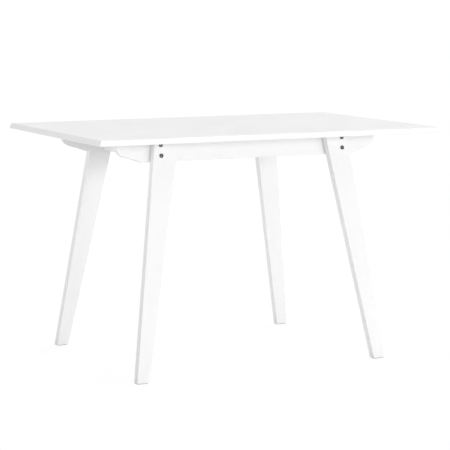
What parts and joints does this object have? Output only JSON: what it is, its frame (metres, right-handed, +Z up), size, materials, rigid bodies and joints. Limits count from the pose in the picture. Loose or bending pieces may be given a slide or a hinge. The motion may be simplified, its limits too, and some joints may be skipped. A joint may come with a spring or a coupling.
{
  "type": "dining table",
  "caption": "White fixed-top dining table with a thin bevelled top, scroll-ended side rails and flat splayed legs bolted to their outsides.",
  "frame": {"origin": "on the floor, under the middle of the top", "axes": "+X along the long side of the top, +Y to the back, +Z up"},
  "size_m": [1.202, 0.766, 0.75],
  "materials": {
    "white_paint": "satin white paint over solid wood",
    "bare_wood": "bare beech",
    "dark_steel": "dark grey coated steel",
    "zinc": "bright zinc-plated steel",
    "glide_plastic": "grey moulded plastic"
  },
  "bodies": {
    "root": {"top": "white_paint", "front_rail": "white_paint", "back_rail": "white_paint", "left_end_rail": "white_paint", "right_end_rail": "white_paint", "leg_front_left": "white_paint", "leg_front_right": "white_paint", "leg_back_left": "white_paint", "leg_back_right": "white_paint", "corner_block_front_left": "bare_wood", "corner_block_front_right": "bare_wood", "corner_block_back_left": "bare_wood", "corner_block_back_right": "bare_wood", "rail_dowels": "bare_wood", "leg_bolts": "dark_steel", "cap_nuts": "dark_steel", "block_screws": "zinc", "top_brackets": "zinc", "bracket_top_screws": "zinc", "bracket_rail_screws": "zinc", "glide_nails": "zinc", "foot_glides": "glide_plastic"}
  },
  "joints": []
}
